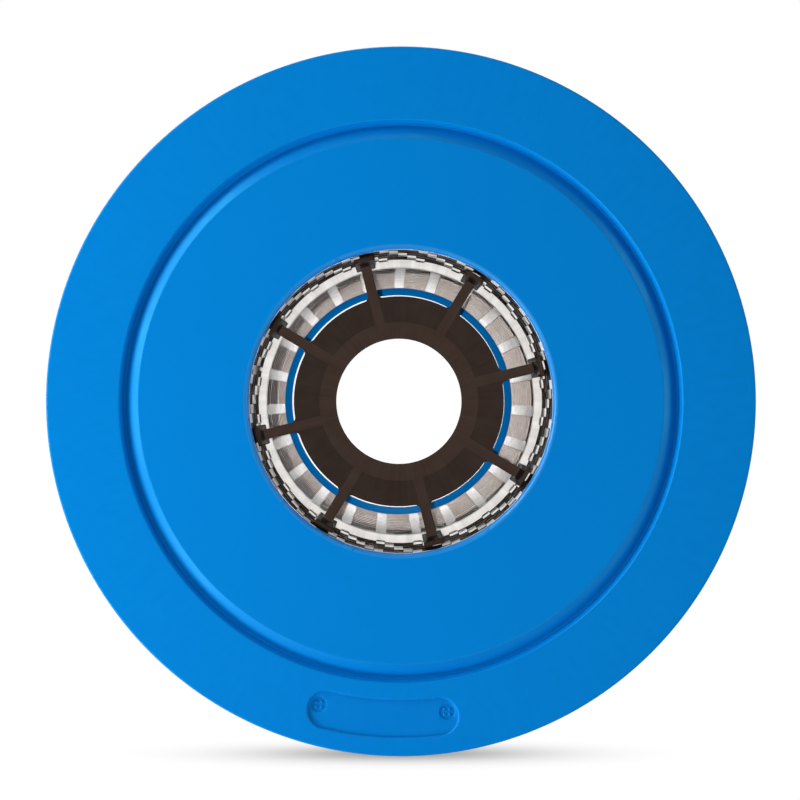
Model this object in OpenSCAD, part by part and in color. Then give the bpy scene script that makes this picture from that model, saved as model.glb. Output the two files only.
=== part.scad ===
// Pleated cartridge for a pool filter, lying on its side.
// The front end faces -Y, and the origin is on the floor under the middle.
// Each piece is drawn upright, with the front end on top, and is then laid down.

/* [Cartridge] */
// Length from face to face of the two end caps
cartridge_len = 711; // [560:1:860]
// Outside diameter of the end caps
cap_od = 177.8; // [172:0.1:190]
// Diameter of the bore through each end cap
bore_d = 76.2; // [70:0.1:80]
// Running gap between pieces that slide together
fit_gap = 0.2; // [0.1:0.05:0.3]

/* [End caps] */
// Height of the rim that wraps the pleat ends
cap_h = 19; // [15:0.5:26]
// Thickness of the face over the pleat ends
face_t = 8; // [7.5:0.5:10]
// Thickness of the lip over the core ends
lip_t = 6; // [5:0.5:7]
// Wall of the rim
rim_t = 3; // [2.5:0.1:4]
// Rounding of the outside edges
edge_round = 0.5; // [0.3:0.1:1.4]
// Rounding of the bore's mouth
mouth_round = 1.3; // [0.8:0.1:1.8]
// Radius of the ring groove at its middle
groove_mid_r = 68.1; // [62:0.1:70]
// Width of the ring groove at the face
groove_w = 4.9; // [4.2:0.1:5.2]
// Run of the groove's sloping inner wall
groove_slope = 2.8; // [2:0.1:3]
// Run of the groove's steep outer wall
groove_steep = 0.7; // [0.3:0.1:1]
// Depth of the ring groove
groove_depth = 2.3; // [1.6:0.1:2.6]

/* [Bare plate in the front face] */
// Radius on which the plate lies
plate_mid_r = 79.5; // [78.5:0.1:80]
// Length of the plate along its arc
plate_len = 38.3; // [37.5:0.1:60]
// Height of the plate
plate_h = 9.7; // [8.5:0.1:10.5]
// Depth of the plate below the face
plate_depth = 0.7; // [0.4:0.1:1.2]
// Turn of the plate from straight down, towards the left
plate_turn = 3.35; // [0:0.05:10]
// Radius on which the two screw marks lie
mark_mid_r = 78.6; // [78:0.1:80]
// Distance between the two screw marks
mark_pitch = 32.4; // [24:0.2:32.6]
// Diameter of a screw mark
mark_d = 4.2; // [3:0.1:4.4]
// Depth of a screw mark below the plate
mark_depth = 0.3; // [0.2:0.1:0.5]

/* [Core] */
// Number of moulded core sections
section_count = 5; // [5:1:5]
// Width of the cap's ledge inside the core
ledge_w = 2.5; // [2.2:0.1:3]
// Wall of the core
core_wall = 2.4; // [2:0.1:3]
// Bars round each core section
bar_count = 24; // [20:1:26]
// Width of a bar
bar_w = 4; // [3.4:0.1:5]
// Rows of windows in each core section
row_count = 5; // [4:1:6]
// Height of a ring between two rows
ring_h = 5; // [4:0.5:7]
// Turn of each row of the front section past the row in front of it
row_turn = 3.6; // [0:0.1:6]
// Angle of the first bar
bar_phase = 6.4; // [0:0.1:15]
// Width of a lug that shows in the sleeve's slot
lug_w = 2.3; // [1.6:0.1:2.8]
// Stand-off of the lug faces from the bore
lug_shy = 0.05; // [0.05:0.05:0.15]

/* [Stop ring] */
// Thickness of the stop ring
stop_t = 5; // [4:0.5:8]
// Reach of the stop ring inside the bore's radius
stop_reach = 1.8; // [1.4:0.1:3]
// Reach of the tabs past the stop ring
tab_reach = 1.2; // [0.6:0.1:2]
// Width of a tab
tab_w = 2.3; // [1.6:0.1:3]
// Thickness of a tab
tab_t = 2; // [1:0.1:3]

/* [Sleeve] */
// Stand-off of the sleeve's wall from the bore
sleeve_shy = 0.7; // [0.6:0.05:0.9]
// Stand-off of the beads from the bore
bead_shy = 0.5; // [0.4:0.05:0.55]
// Height of a bead
bead_h = 2; // [1:0.1:3]
// End play between the sleeve and the cap's lip
sleeve_play = 1; // [0.9:0.1:1.4]
// Width of the split that lets the sleeve close up
split_w = 1; // [0.6:0.1:2]
// Angle of the split
split_angle = 167; // [165:0.5:169]

/* [Spider] */
// Depth of the spider's face below the front face
spider_depth = 97; // [70:1:110]
// Diameter of the hub hole
hub_d = 33.3; // [28:0.1:36]
// Outside radius of the hub ring
hub_ring_r = 21.1; // [20:0.1:23]
// Outside radius of the web
web_r = 27.9; // [25:0.1:31]
// Thickness of the hub ring and the spokes
spoke_h = 6; // [4:0.5:9]
// Depth of the web below the spokes
web_drop = 1.2; // [0.6:0.1:1.8]
// Number of spokes
spoke_count = 8; // [6:1:9]
// Width of a spoke
spoke_w = 2.7; // [2:0.1:4]
// Angle of the first spoke
spoke_phase = 13.9; // [0:0.1:45]
// Rounding of the corners between a spoke and the web
corner_r = 1.3; // [0.6:0.1:2]
// Width of a leg
leg_w = 5.4; // [4.4:0.1:7]
// Thickness of a leg
leg_t = 1.2; // [0.8:0.1:1.6]
// Height of a leg above the spider's face
leg_rise = 59; // [30:1:62]

/* [Pleated media] */
// Number of pleats
pleat_count = 140; // [100:1:150]
// Thickness of the fabric
fabric_t = 0.5; // [0.4:0.05:0.6]
// Gap between the pleats and the core or the rims
pleat_gap = 0.3; // [0.2:0.05:0.5]
// Wall of the seam clip
clip_t = 0.4; // [0.3:0.05:0.45]
// Height of the seam clip's legs
clip_h = 9; // [5:0.5:14]
// Angle of the seam
seam_angle = 52; // [0:1:90]

/* [Bands] */
// Width of a band
band_w = 19; // [12:0.5:30]
// Thickness of a band
band_t = 0.9; // [0.6:0.1:1.4]

/* [Hidden] */
$fn = 96;

urethane_blue = [0.0, 0.49, 0.80];
core_white = [0.93, 0.91, 0.88];
plastic_brown = [0.22, 0.18, 0.16];
fabric_white = [0.92, 0.90, 0.86];

// Spare length by which a cutting shape runs past the piece that it cuts
past = 1;

// Depth by which the round of a spoke's corner runs into the spoke and the web
corner_bite = 0.08;

cap_r = cap_od / 2;
bore_r = bore_d / 2;
pocket_r = cap_r - rim_t;
groove_ri = groove_mid_r - groove_w / 2;
groove_ro = groove_mid_r + groove_w / 2;

core_ri = bore_r + ledge_w;
core_ro = core_ri + core_wall;
core_len = cartridge_len - 2 * lip_t;
section_len = (core_len - stop_t) / section_count;
stop_z = cartridge_len - lip_t - section_len - stop_t;
stop_ri = bore_r - stop_reach;
bar_pitch = 360 / bar_count;
row_h = (section_len - ring_h) / row_count;
window_h = row_h - ring_h;
window_w = 2 * PI * core_ri / bar_count - bar_w;
lug_ri = bore_r + lug_shy;

sleeve_ri = bore_r + sleeve_shy;
sleeve_ro = core_ri - fit_gap;
bead_ri = bore_r + bead_shy;
sleeve_len = section_len - sleeve_play;

spider_z = cartridge_len - spider_depth;
leg_ro = bore_r - fit_gap / 2;
leg_ri = leg_ro - leg_t;
leg_foot_z = stop_z + stop_t;
leg_top_z = spider_z + leg_rise;

pleat_ri = core_ro + pleat_gap;
pleat_ro = pocket_r - pleat_gap;
pleat_len = cartridge_len - 2 * face_t;
pleat_pitch = 360 / pleat_count;
seam_ro = pleat_ro - clip_t - fit_gap;

band_count = 3;
band_step = (cartridge_len - 2 * cap_h) / (band_count + 1);

// Lays an upright piece on its side, front end towards -Y, on the floor
module laid_down() {
    translate([0, cartridge_len / 2, cap_r])
        rotate([90, 0, 0])
            children();
}

// Corner that a rounding takes off, with the material towards -X and -Y
module rounding(r) {
    translate([-r, -r])
        difference() {
            square(r + past);
            circle(r);
        }
}

// Half section of an end cap, face upwards at height 0
module cap_profile() {
    difference() {
        translate([bore_r, -cap_h])
            square([cap_r - bore_r, cap_h]);
        translate([0, -cap_h - past])
            square([pocket_r, cap_h + past - face_t]);
        translate([0, -face_t - past])
            square([core_ro + fit_gap, face_t + past - lip_t]);
        polygon([
            [groove_ri, past],
            [groove_ri, 0],
            [groove_ri + groove_slope, -groove_depth],
            [groove_ro - groove_steep, -groove_depth],
            [groove_ro, 0],
            [groove_ro, past]
        ]);
        translate([cap_r, 0])
            rounding(edge_round);
        translate([cap_r, -cap_h])
            mirror([0, 1])
                rounding(edge_round);
        translate([bore_r, 0])
            mirror([1, 0])
                rounding(mouth_round);
    }
}

// Shallow arc-shaped plate with round ends and two screw marks, as a cutting shape
module plate_recess() {
    end_angle = (plate_len - plate_h) / 2 / plate_mid_r * 180 / PI;
    mark_angle = mark_pitch / 2 / mark_mid_r * 180 / PI;
    translate([0, 0, -plate_depth])
        union() {
            rotate([0, 0, -end_angle])
                rotate_extrude(angle = 2 * end_angle)
                    translate([plate_mid_r - plate_h / 2, 0])
                        square([plate_h, plate_depth + past]);
            for (side = [-1, 1])
                rotate([0, 0, side * end_angle])
                    translate([plate_mid_r, 0, 0])
                        cylinder(d = plate_h, h = plate_depth + past);
            for (side = [-1, 1])
                rotate([0, 0, side * mark_angle])
                    translate([mark_mid_r, 0, -mark_depth])
                        cylinder(d = mark_d, h = mark_depth + plate_depth);
        }
}

module front_end_cap() {
    color(urethane_blue)
        laid_down()
            translate([0, 0, cartridge_len])
                difference() {
                    rotate_extrude()
                        cap_profile();
                    rotate([0, 0, -90 - plate_turn])
                        plate_recess();
                }
}

module rear_end_cap() {
    color(urethane_blue)
        laid_down()
            mirror([0, 0, 1])
                rotate_extrude()
                    cap_profile();
}

// Height of the foot of a core section, counted from the front
function section_z(i) = i == 1
    ? stop_z + stop_t
    : stop_z - (i - 1) * section_len;

// Height of the foot of a row of windows, counted from the front of a section
function row_z(row) = section_len - (row + 1) * row_h;

// Angle of the first bar in a row of the front section or of a plain one
function row_angle(row, turn) = bar_phase - row * turn;

// One row of windows between the bars, as a cutting shape
module window_row(row, turn) {
    for (bar = [0 : bar_count - 1])
        rotate([0, 0, row_angle(row, turn) + (bar + 0.5) * bar_pitch])
            translate([core_ri - past, -window_w / 2, row_z(row)])
                cube([core_wall + 2 * past, window_w, window_h]);
}

// Lugs on the bars of one row, which reach through the sleeve's slots
module lug_row(row) {
    intersection() {
        difference() {
            translate([0, 0, row_z(row) + fit_gap])
                cylinder(r = core_ri + core_wall / 2, h = window_h - 2 * fit_gap);
            translate([0, 0, row_z(row)])
                cylinder(r = lug_ri, h = window_h);
        }
        for (bar = [0 : bar_count - 1])
            rotate([0, 0, row_angle(row, row_turn) + bar * bar_pitch])
                translate([bore_r - past, -lug_w / 2, row_z(row)])
                    cube([ledge_w + core_wall, lug_w, window_h]);
    }
}

// Tube of one section with its rows of windows
module core_lattice(turn) {
    difference() {
        cylinder(r = core_ro, h = section_len);
        translate([0, 0, -past])
            cylinder(r = core_ri, h = section_len + 2 * past);
        for (row = [0 : row_count - 1])
            window_row(row, turn);
    }
}

module core_section(i) {
    color(core_white)
        laid_down()
            translate([0, 0, section_z(i)])
                if (i == 1) {
                    union() {
                        core_lattice(row_turn);
                        for (row = [0 : row_count - 1])
                            lug_row(row);
                    }
                } else {
                    core_lattice(0);
                }
}

module stop_ring() {
    color(core_white)
        laid_down()
            translate([0, 0, stop_z])
                union() {
                    difference() {
                        cylinder(r = core_ro, h = stop_t);
                        translate([0, 0, -past])
                            cylinder(r = stop_ri, h = stop_t + 2 * past);
                    }
                    for (tab = [0 : bar_count - 1])
                        rotate([0, 0, bar_phase + tab * bar_pitch])
                            translate([stop_ri - tab_reach, -tab_w / 2, stop_t - tab_t])
                                cube([tab_reach + past, tab_w, tab_t]);
                }
}

// Half section of the sleeve with a bead round the inside at each row
module sleeve_profile() {
    translate([sleeve_ri, 0])
        square([sleeve_ro - sleeve_ri, sleeve_len]);
    for (row = [0 : row_count])
        translate([bead_ri, section_len - ring_h - row * row_h + (ring_h - bead_h) / 2])
            square([sleeve_ro - bead_ri, bead_h]);
}

// Slots of one row, which clear the lugs of the core
module slot_row(row) {
    for (bar = [0 : bar_count - 1])
        rotate([0, 0, row_angle(row, row_turn) + bar * bar_pitch])
            translate([bore_r - past, -lug_w / 2 - fit_gap, row_z(row)])
                cube([ledge_w + 2 * past, lug_w + 2 * fit_gap, window_h]);
}

module sleeve() {
    color(plastic_brown)
        laid_down()
            translate([0, 0, stop_z + stop_t])
                difference() {
                    rotate_extrude()
                        sleeve_profile();
                    for (row = [0 : row_count - 1])
                        slot_row(row);
                    rotate([0, 0, split_angle])
                        translate([bore_r - past, -split_w / 2, -past])
                            cube([ledge_w + 2 * past, split_w, section_len + 2 * past]);
                }
}

// Leg that stands on the stop ring and lies along the sleeve
module leg() {
    translate([0, 0, leg_foot_z])
        linear_extrude(leg_top_z - leg_foot_z)
            intersection() {
                difference() {
                    circle(leg_ro);
                    circle(leg_ri);
                }
                translate([0, -leg_w / 2])
                    square([bore_r, leg_w]);
            }
}

// Rounded corner between one side of a spoke and the web
module spoke_corner() {
    corner_y = spoke_w / 2 + corner_r - corner_bite;
    corner_reach = web_r + corner_r - corner_bite;
    corner_x = sqrt(corner_reach * corner_reach - corner_y * corner_y);
    difference() {
        translate([corner_x - corner_r - past, 0])
            square([corner_r + past, corner_y]);
        translate([corner_x, corner_y])
            circle(corner_r);
    }
}

// Spoke from the hub ring out to its leg, with its corners at the web's height
module spoke() {
    spoke_x = (hub_d / 2 + hub_ring_r) / 2;
    translate([0, 0, spider_z - spoke_h]) {
        linear_extrude(spoke_h)
            translate([spoke_x, -spoke_w / 2])
                square([(leg_ri + leg_ro) / 2 - spoke_x, spoke_w]);
        for (side = [0, 1])
            mirror([0, side, 0])
                linear_extrude(spoke_h - web_drop)
                    spoke_corner();
    }
}

module spider() {
    color(plastic_brown)
        laid_down()
            union() {
                translate([0, 0, spider_z - spoke_h])
                    difference() {
                        union() {
                            cylinder(r = hub_ring_r, h = spoke_h);
                            cylinder(r = web_r, h = spoke_h - web_drop);
                        }
                        translate([0, 0, -past])
                            cylinder(d = hub_d, h = spoke_h + 2 * past);
                    }
                for (i = [0 : spoke_count - 1])
                    rotate([0, 0, spoke_phase + i * 360 / spoke_count]) {
                        spoke();
                        leg();
                    }
            }
}

// Point at a radius and an angle
function polar(r, a) = [r * cos(a), r * sin(a)];

// Outer radius of a pleat: the first one lies lower, under the seam clip
function crest_r(i) = i == 0 ? seam_ro : pleat_ro;

// Angle that half the fabric's thickness takes up at a radius
function half_t(r) = fabric_t / 2 / r * 180 / PI;

// Points of one face of the fabric: side is 1 outside and -1 inside
function pleat_face(side) = [
    for (i = [0 : pleat_count - 1])
        let (
            crest_a = i * pleat_pitch,
            valley_a = crest_a + pleat_pitch / 2,
            crest = crest_r(i) - (side > 0 ? 0 : fabric_t),
            valley = pleat_ri + (side > 0 ? fabric_t : 0),
            crest_w = pleat_pitch / 4 + side * half_t(pleat_ro),
            valley_w = pleat_pitch / 4 - side * half_t(pleat_ri)
        )
        each [
            polar(crest, crest_a - crest_w),
            polar(crest, crest_a + crest_w),
            polar(valley, valley_a - valley_w),
            polar(valley, valley_a + valley_w)
        ]
];

module pleated_media() {
    color(fabric_white)
        laid_down()
            translate([0, 0, face_t])
                rotate([0, 0, seam_angle])
                    linear_extrude(pleat_len)
                        difference() {
                            polygon(pleat_face(1));
                            polygon(pleat_face(-1));
                        }
}

module seam_clip() {
    crest_w = 2 * seam_ro * sin(pleat_pitch / 4 + half_t(pleat_ro));
    inside_w = crest_w + fit_gap;
    outside_w = inside_w + 2 * clip_t;
    color(core_white)
        laid_down()
            translate([0, 0, face_t])
                rotate([0, 0, seam_angle])
                    linear_extrude(pleat_len)
                        difference() {
                            translate([pleat_ro - clip_h, -outside_w / 2])
                                square([clip_h - fit_gap / 2, outside_w]);
                            translate([pleat_ro - clip_h - past, -inside_w / 2])
                                square([clip_h + past - fit_gap / 2 - clip_t, inside_w]);
                        }
}

module band(i) {
    color(fabric_white)
        laid_down()
            translate([0, 0, cap_h + i * band_step - band_w / 2])
                difference() {
                    cylinder(r = pleat_ro + fit_gap + band_t, h = band_w);
                    translate([0, 0, -past])
                        cylinder(r = pleat_ro + fit_gap, h = band_w + 2 * past);
                }
}

front_end_cap();
rear_end_cap();
core_section(1);  // core_section_1
core_section(2);  // core_section_2
core_section(3);  // core_section_3
core_section(4);  // core_section_4
core_section(5);  // core_section_5
stop_ring();
sleeve();
spider();
pleated_media();
seam_clip();
band(1);  // band_1
band(2);  // band_2
band(3);  // band_3
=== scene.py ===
"""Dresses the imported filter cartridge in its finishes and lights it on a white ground."""

import logging
import math
from dataclasses import dataclass
from enum import Enum

import bmesh
import bpy
from mathutils import Matrix, Vector


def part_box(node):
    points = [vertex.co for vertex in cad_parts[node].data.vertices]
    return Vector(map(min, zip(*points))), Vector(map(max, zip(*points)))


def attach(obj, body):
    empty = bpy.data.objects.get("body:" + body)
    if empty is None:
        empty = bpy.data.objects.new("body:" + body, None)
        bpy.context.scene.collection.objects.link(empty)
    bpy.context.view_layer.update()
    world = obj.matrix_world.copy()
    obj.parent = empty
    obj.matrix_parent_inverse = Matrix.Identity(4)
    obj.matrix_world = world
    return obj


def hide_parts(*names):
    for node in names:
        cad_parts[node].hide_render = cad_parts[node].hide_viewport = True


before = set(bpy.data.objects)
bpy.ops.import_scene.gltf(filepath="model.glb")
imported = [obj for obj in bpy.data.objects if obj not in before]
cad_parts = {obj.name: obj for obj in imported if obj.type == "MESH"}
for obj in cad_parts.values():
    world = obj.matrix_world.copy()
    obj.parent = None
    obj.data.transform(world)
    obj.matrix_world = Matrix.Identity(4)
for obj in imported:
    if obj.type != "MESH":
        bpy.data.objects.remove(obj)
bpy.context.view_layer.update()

LOG = logging.getLogger("cartridge")
MM = 0.001
SAME = 1e-6  # metres within which two points are one
SHARP = 57.0  # degrees between two faces from which their edge is rounded over
WHITE = (1.0, 1.0, 1.0, 1.0)
Colour = tuple[float, float, float]
Place = Vector | tuple[float, float, float]
Socket = bpy.types.NodeSocket
Mesh, Vert, Edge, Face = bmesh.types.BMesh, bmesh.types.BMVert, bmesh.types.BMEdge, bmesh.types.BMFace


class Slot(Enum):
    """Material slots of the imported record."""

    CAP = "cap_urethane"
    CORE = "core_plastic"
    DARK = "dark_plastic"
    FABRIC = "filter_fabric"
    STRAP = "band_strap"


class Skin(Enum):
    """Numbers of the finishes on a cast cap."""

    FACE = 0
    EDGE = 1
    LIP = 2
    PLATE = 3


class End(Enum):
    """The two ends of the cartridge, by the way their faces look along Y."""

    FRONT = -1
    REAR = 1


@dataclass(frozen=True)
class Layout:
    """Where the cartridge lies: its axis runs along Y and its front face looks towards -Y.

    Lengths are in metres.
    """

    axis_z: float
    front_y: float
    rear_y: float

    @classmethod
    def from_frame(cls) -> "Layout":
        """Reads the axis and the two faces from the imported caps.

        Returns:
            The layout.
        """
        low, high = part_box("front_end_cap")
        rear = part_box("rear_end_cap")[1]
        return cls((low[2] + high[2]) / 2, low[1], rear[1])

    @property
    def centre(self) -> Vector:
        """The middle of the front face."""
        return Vector((0.0, self.front_y, self.axis_z))

    def at(self, radius: float, angle: float, y: float) -> Vector:
        """Gives a point round the axis.

        Args:
            radius: Distance from the axis in millimetres.
            angle: Angle in degrees from +X, counter-clockwise as the front face shows it.
            y: Place along the axis in metres.

        Returns:
            The point in metres.
        """
        turn = math.radians(angle)
        reach = radius * MM
        return Vector((reach * math.cos(turn), y, self.axis_z + reach * math.sin(turn)))

    def polar(self, point: Vector) -> tuple[float, float]:
        """Gives the radius in millimetres and the angle in degrees of a point."""
        x, z = point.x, point.z - self.axis_z
        return math.hypot(x, z) / MM, math.degrees(math.atan2(z, x))


def linear(colour: Colour) -> tuple[float, float, float, float]:
    """Turns a display colour, from 0 to 1, into the linear one that sockets take."""
    parts = [c / 12.92 if c <= 0.04045 else ((c + 0.055) / 1.055) ** 2.4 for c in colour]
    return (*parts, 1.0)


class Graph:
    """Node tree of a material or of the world, with short calls that add and join its nodes."""

    def __init__(self, owner: bpy.types.Material | bpy.types.World, output: str = "OutputMaterial") -> None:
        """Empties the owner's node tree but for its output node.

        Args:
            owner: The material or world.
            output: The output node's type without the ShaderNode that starts it.
        """
        owner.use_nodes = True
        self.owner = owner
        self.nodes = owner.node_tree.nodes
        self.links = owner.node_tree.links
        self.nodes.clear()
        self.output = self.add(output)

    def add(self, kind: str, inputs: dict | None = None, **settings: object) -> bpy.types.Node:
        """Adds a node.

        Args:
            kind: The node's type without the ShaderNode that starts it.
            inputs: Values or sockets for the node's inputs, by name or number.
            **settings: Properties of the node.

        Returns:
            The new node.
        """
        node = self.nodes.new("ShaderNode" + kind)
        for key, value in settings.items():
            setattr(node, key, value)
        for key, value in (inputs or {}).items():
            if isinstance(value, bpy.types.NodeSocket):
                self.links.new(value, node.inputs[key])
            else:
                node.inputs[key].default_value = value
        return node

    def math(self, operation: str, first: object, second: object = 0.0) -> Socket:
        """Adds a Math node and gives its result."""
        return self.add("Math", {0: first, 1: second}, operation=operation).outputs[0]

    def weigh(self, *parts: tuple[Socket, float]) -> Socket:
        """Adds two values up, each multiplied by its weight."""
        return self.math("ADD", *(self.math("MULTIPLY", value, weight) for value, weight in parts))

    def to_the_eye(self) -> Socket:
        """Gives 1 on camera, glossy and transmission rays, and 0 on all others.

        Returns:
            The switch between what is seen and what gives light.
        """
        path = self.add("LightPath").outputs
        direct = self.math("MAXIMUM", path["Is Camera Ray"], path["Is Glossy Ray"])
        return self.math("MAXIMUM", direct, path["Is Transmission Ray"])

    def place(self) -> Socket:
        """Gives the piece's own coordinates, in metres."""
        return self.add("TexCoord").outputs["Object"]

    def round_place(self, layout: Layout) -> tuple[Socket, Socket, Socket]:
        """Gives the radius and the place along the axis in metres, and the angle in radians.

        Args:
            layout: Where the axis is.

        Returns:
            The three values in that order.
        """
        x, y, z = self.add("SeparateXYZ", {0: self.place()}).outputs
        height = self.math("SUBTRACT", z, layout.axis_z)
        square = self.math("ADD", self.math("MULTIPLY", x, x), self.math("MULTIPLY", height, height))
        return self.math("SQRT", square), y, self.math("ARCTAN2", height, x)

    def noise(self, vector: Socket, scale: float, detail: float = 2.0) -> Socket:
        """Adds a Noise texture and gives its grey value."""
        inputs = {"Vector": vector, "Scale": scale, "Detail": detail}
        return self.add("TexNoise", inputs).outputs["Fac"]

    def span(self, value: Socket, low: tuple[float, float], high: tuple[float, float]) -> Socket:
        """Maps a value from one pair of numbers to another.

        Args:
            value: The value to map.
            low: Where the value starts and ends.
            high: What it becomes there.

        Returns:
            The mapped value, held between the two ends.
        """
        inputs = {"Value": value, 1: low[0], 2: low[1], 3: high[0], 4: high[1]}
        return self.add("MapRange", inputs, clamp=True).outputs[0]

    def blend(self, amount: Socket, first: Colour, second: Colour | Socket) -> Socket:
        """Mixes two display colours by an amount from 0 to 1. The second one may be a socket."""
        end = second if isinstance(second, Socket) else linear(second)
        return self.add("Mix", {0: amount, 6: linear(first), 7: end}, data_type="RGBA").outputs[2]

    def bump(self, height: Socket, distance: float, strength: float) -> Socket:
        """Adds a Bump node, with its distance in millimetres, and gives its normal."""
        inputs = {"Height": height, "Distance": distance * MM, "Strength": strength}
        return self.add("Bump", inputs).outputs[0]

    def finish(self, shader: bpy.types.Node) -> bpy.types.Material | bpy.types.World:
        """Joins the last shader to the output and gives the material or world."""
        self.links.new(shader.outputs[0], self.output.inputs["Surface"])
        return self.owner


def shade(colour: Colour, factor: float) -> Colour:
    """Makes a display colour lighter or darker by a factor."""
    return tuple(min(1.0, c * factor) for c in colour)


@dataclass(frozen=True)
class Finish:
    """What a piece is made of, as it looks."""

    name: str
    colour: Colour

    def material(self, layout: Layout) -> bpy.types.Material:
        """Makes the node material, set out round the cartridge's axis."""
        g = Graph(bpy.data.materials.new(self.name))
        return g.finish(g.add("BsdfPrincipled", self.inputs(g, layout)))

    def inputs(self, g: Graph, layout: Layout) -> dict[str, object]:
        """Gives the values and sockets of the shader, which each finish has of its own."""
        raise NotImplementedError


@dataclass(frozen=True)
class CastUrethane(Finish):
    """Satin blue urethane, cast in a turned mould."""

    roughness: float = 0.34
    gloss: float = 0.4
    tint: Colour = (0.1, 0.85, 0.9)
    streak_start: float = 71.0
    pit_rate: float = 420.0

    def inputs(self, g: Graph, layout: Layout) -> dict[str, object]:
        """Gives the cap a cloudy colour, faint brushed streaks and pin holes.

        Args:
            g: The material's node tree.
            layout: Where the axis of the cap is.

        Returns:
            The shader's inputs.
        """
        place = g.place()
        radius, _, angle = g.round_place(layout)
        streaks = g.add("CombineXYZ", {0: g.math("MULTIPLY", angle, 14.0), 1: g.math("MULTIPLY", radius, 60.0)})
        brushed = g.noise(streaks.outputs[0], 3.0, 4.0)
        outer = g.span(radius, (self.streak_start * MM, (self.streak_start + 1.0) * MM), (0.15, 1.0))
        wave = g.math("MULTIPLY", g.math("SUBTRACT", brushed, 0.5), outer)
        tone = g.weigh((g.noise(place, 22.0, 3.0), 0.6), (wave, 1.3))
        pits = g.add("TexVoronoi", {"Vector": place, "Scale": self.pit_rate}, feature="F1").outputs["Distance"]
        skin = g.weigh((g.noise(place, 900.0, 3.0), 0.35), (g.span(pits, (0.0, 0.09), (0.0, 1.0)), 1.0))
        patchy = (self.roughness - 0.05, self.roughness + 0.06)
        return {
            "Base Color": g.blend(tone, shade(self.colour, 0.98), shade(self.colour, 1.02)),
            "Roughness": g.span(g.noise(place, 160.0, 4.0), (0.3, 0.7), patchy),
            "Normal": g.bump(skin, 0.03, 0.12),
            "Specular IOR Level": self.gloss,
            "Specular Tint": (*self.tint, 1.0),
        }


@dataclass(frozen=True)
class MouldedPlastic(Finish):
    """Injection-moulded plastic with fine grain and flow marks."""

    roughness: float
    gloss: float = 0.3
    grain: float = 0.25

    def inputs(self, g: Graph, layout: Layout) -> dict[str, object]:
        """Gives the moulding flow marks along its axis and a fine grain.

        Args:
            g: The material's node tree.
            layout: Where the axis of the moulding is.

        Returns:
            The shader's inputs.
        """
        place = g.place()
        _, along, angle = g.round_place(layout)
        flow = g.add("CombineXYZ", {0: g.math("MULTIPLY", angle, 9.0), 1: g.math("MULTIPLY", along, 12.0)})
        marks = g.span(g.noise(flow.outputs[0], 2.2, 4.0), (0.3, 0.7), (0.0, 1.0))
        patchy = (self.roughness - 0.06, self.roughness + 0.06)
        return {
            "Base Color": g.blend(marks, shade(self.colour, 0.93), shade(self.colour, 1.04)),
            "Roughness": g.span(g.noise(place, 240.0, 3.0), (0.3, 0.7), patchy),
            "Normal": g.bump(g.noise(place, 1500.0, 3.0), 0.04, self.grain),
            "Specular IOR Level": self.gloss,
        }


@dataclass(frozen=True)
class SpunbondFabric(Finish):
    """Matted polyester fibres, bonded at small points, with painted shade that makes the roots of the folds
    browner.

    Lengths are in millimetres.
    """

    shadow: Colour
    # root: browner colour painted into the roots of the folds as shade
    root: Colour
    bond_pitch: float = 1.6
    root_shade_fade: tuple[float, float] = (44.6, 54.0)

    def inputs(self, g: Graph, layout: Layout) -> dict[str, object]:
        """Gives the sheet its strands, bond points and the painted shade at the roots of its folds.

        Args:
            g: The material's node tree.
            layout: Where the axis of the media is.

        Returns:
            The shader's inputs.
        """
        place = g.place()
        fibre = g.add("Mapping", {0: place, 3: (1.0, 0.22, 1.0)})
        strands = g.noise(fibre.outputs[0], 1700.0, 5.0)
        bonds = g.add("TexVoronoi", {"Vector": place, "Scale": 1.0 / (self.bond_pitch * MM)}, feature="F1")
        dimple = g.span(bonds.outputs["Distance"], (0.05, 0.4), (0.0, 1.0))
        tone = g.span(g.weigh((strands, 0.7), (g.noise(place, 130.0, 3.0), 0.45)), (0.35, 0.75), (0.0, 1.0))
        radius, _, _ = g.round_place(layout)
        # The colour fades from the painted root shade to the fabric's own tone on the way out towards the crests.
        fade = (self.root_shade_fade[0] * MM, self.root_shade_fade[1] * MM)
        out_of_root_shade = g.span(radius, fade, (0.0, 1.0))
        return {
            "Base Color": g.blend(out_of_root_shade, self.root, g.blend(tone, self.shadow, self.colour)),
            "Roughness": 0.92,
            "Normal": g.bump(g.weigh((strands, 0.8), (dimple, 0.5)), 0.16, 0.5),
            "Sheen Weight": 0.15,
        }


@dataclass(frozen=True)
class WovenStrap(Finish):
    """Plain-woven polyester strap. Lengths are in millimetres."""

    # darker colour painted where the weave dips, as shade between the yarns
    gap_shade_colour: Colour
    strap_r: float = 86.5
    yarn: float = 1.1

    def inputs(self, g: Graph, layout: Layout) -> dict[str, object]:
        """Gives the strap yarns that cross round and along the axis, with painted shade where the weave dips
        between them.

        Args:
            g: The material's node tree.
            layout: The axis that the strap goes round.

        Returns:
            The shader's inputs.
        """
        _, along, angle = g.round_place(layout)
        rate = math.pi / (self.yarn * MM)
        warp = g.math("SINE", g.math("MULTIPLY", angle, self.strap_r * MM * rate))
        weft = g.math("SINE", g.math("MULTIPLY", along, rate))
        crown = g.math("ADD", g.math("ABSOLUTE", warp), g.math("ABSOLUTE", weft))
        lift = g.weigh((g.math("MULTIPLY", warp, weft), 0.5), (crown, 0.5))
        fuzz = g.noise(g.place(), 2600.0, 3.0)
        # Where the weave dips the colour turns to the darker gap colour: painted shade between the yarns, broken up
        # by fuzz.
        tone = g.span(g.weigh((lift, 1.0), (fuzz, 0.5)), (0.1, 1.2), (0.0, 1.0))
        return {
            "Base Color": g.blend(tone, self.gap_shade_colour, self.colour),
            "Roughness": 0.8,
            "Normal": g.bump(g.weigh((lift, 1.0), (fuzz, 0.3)), 0.22, 0.6),
            "Sheen Weight": 0.1,
        }


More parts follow.
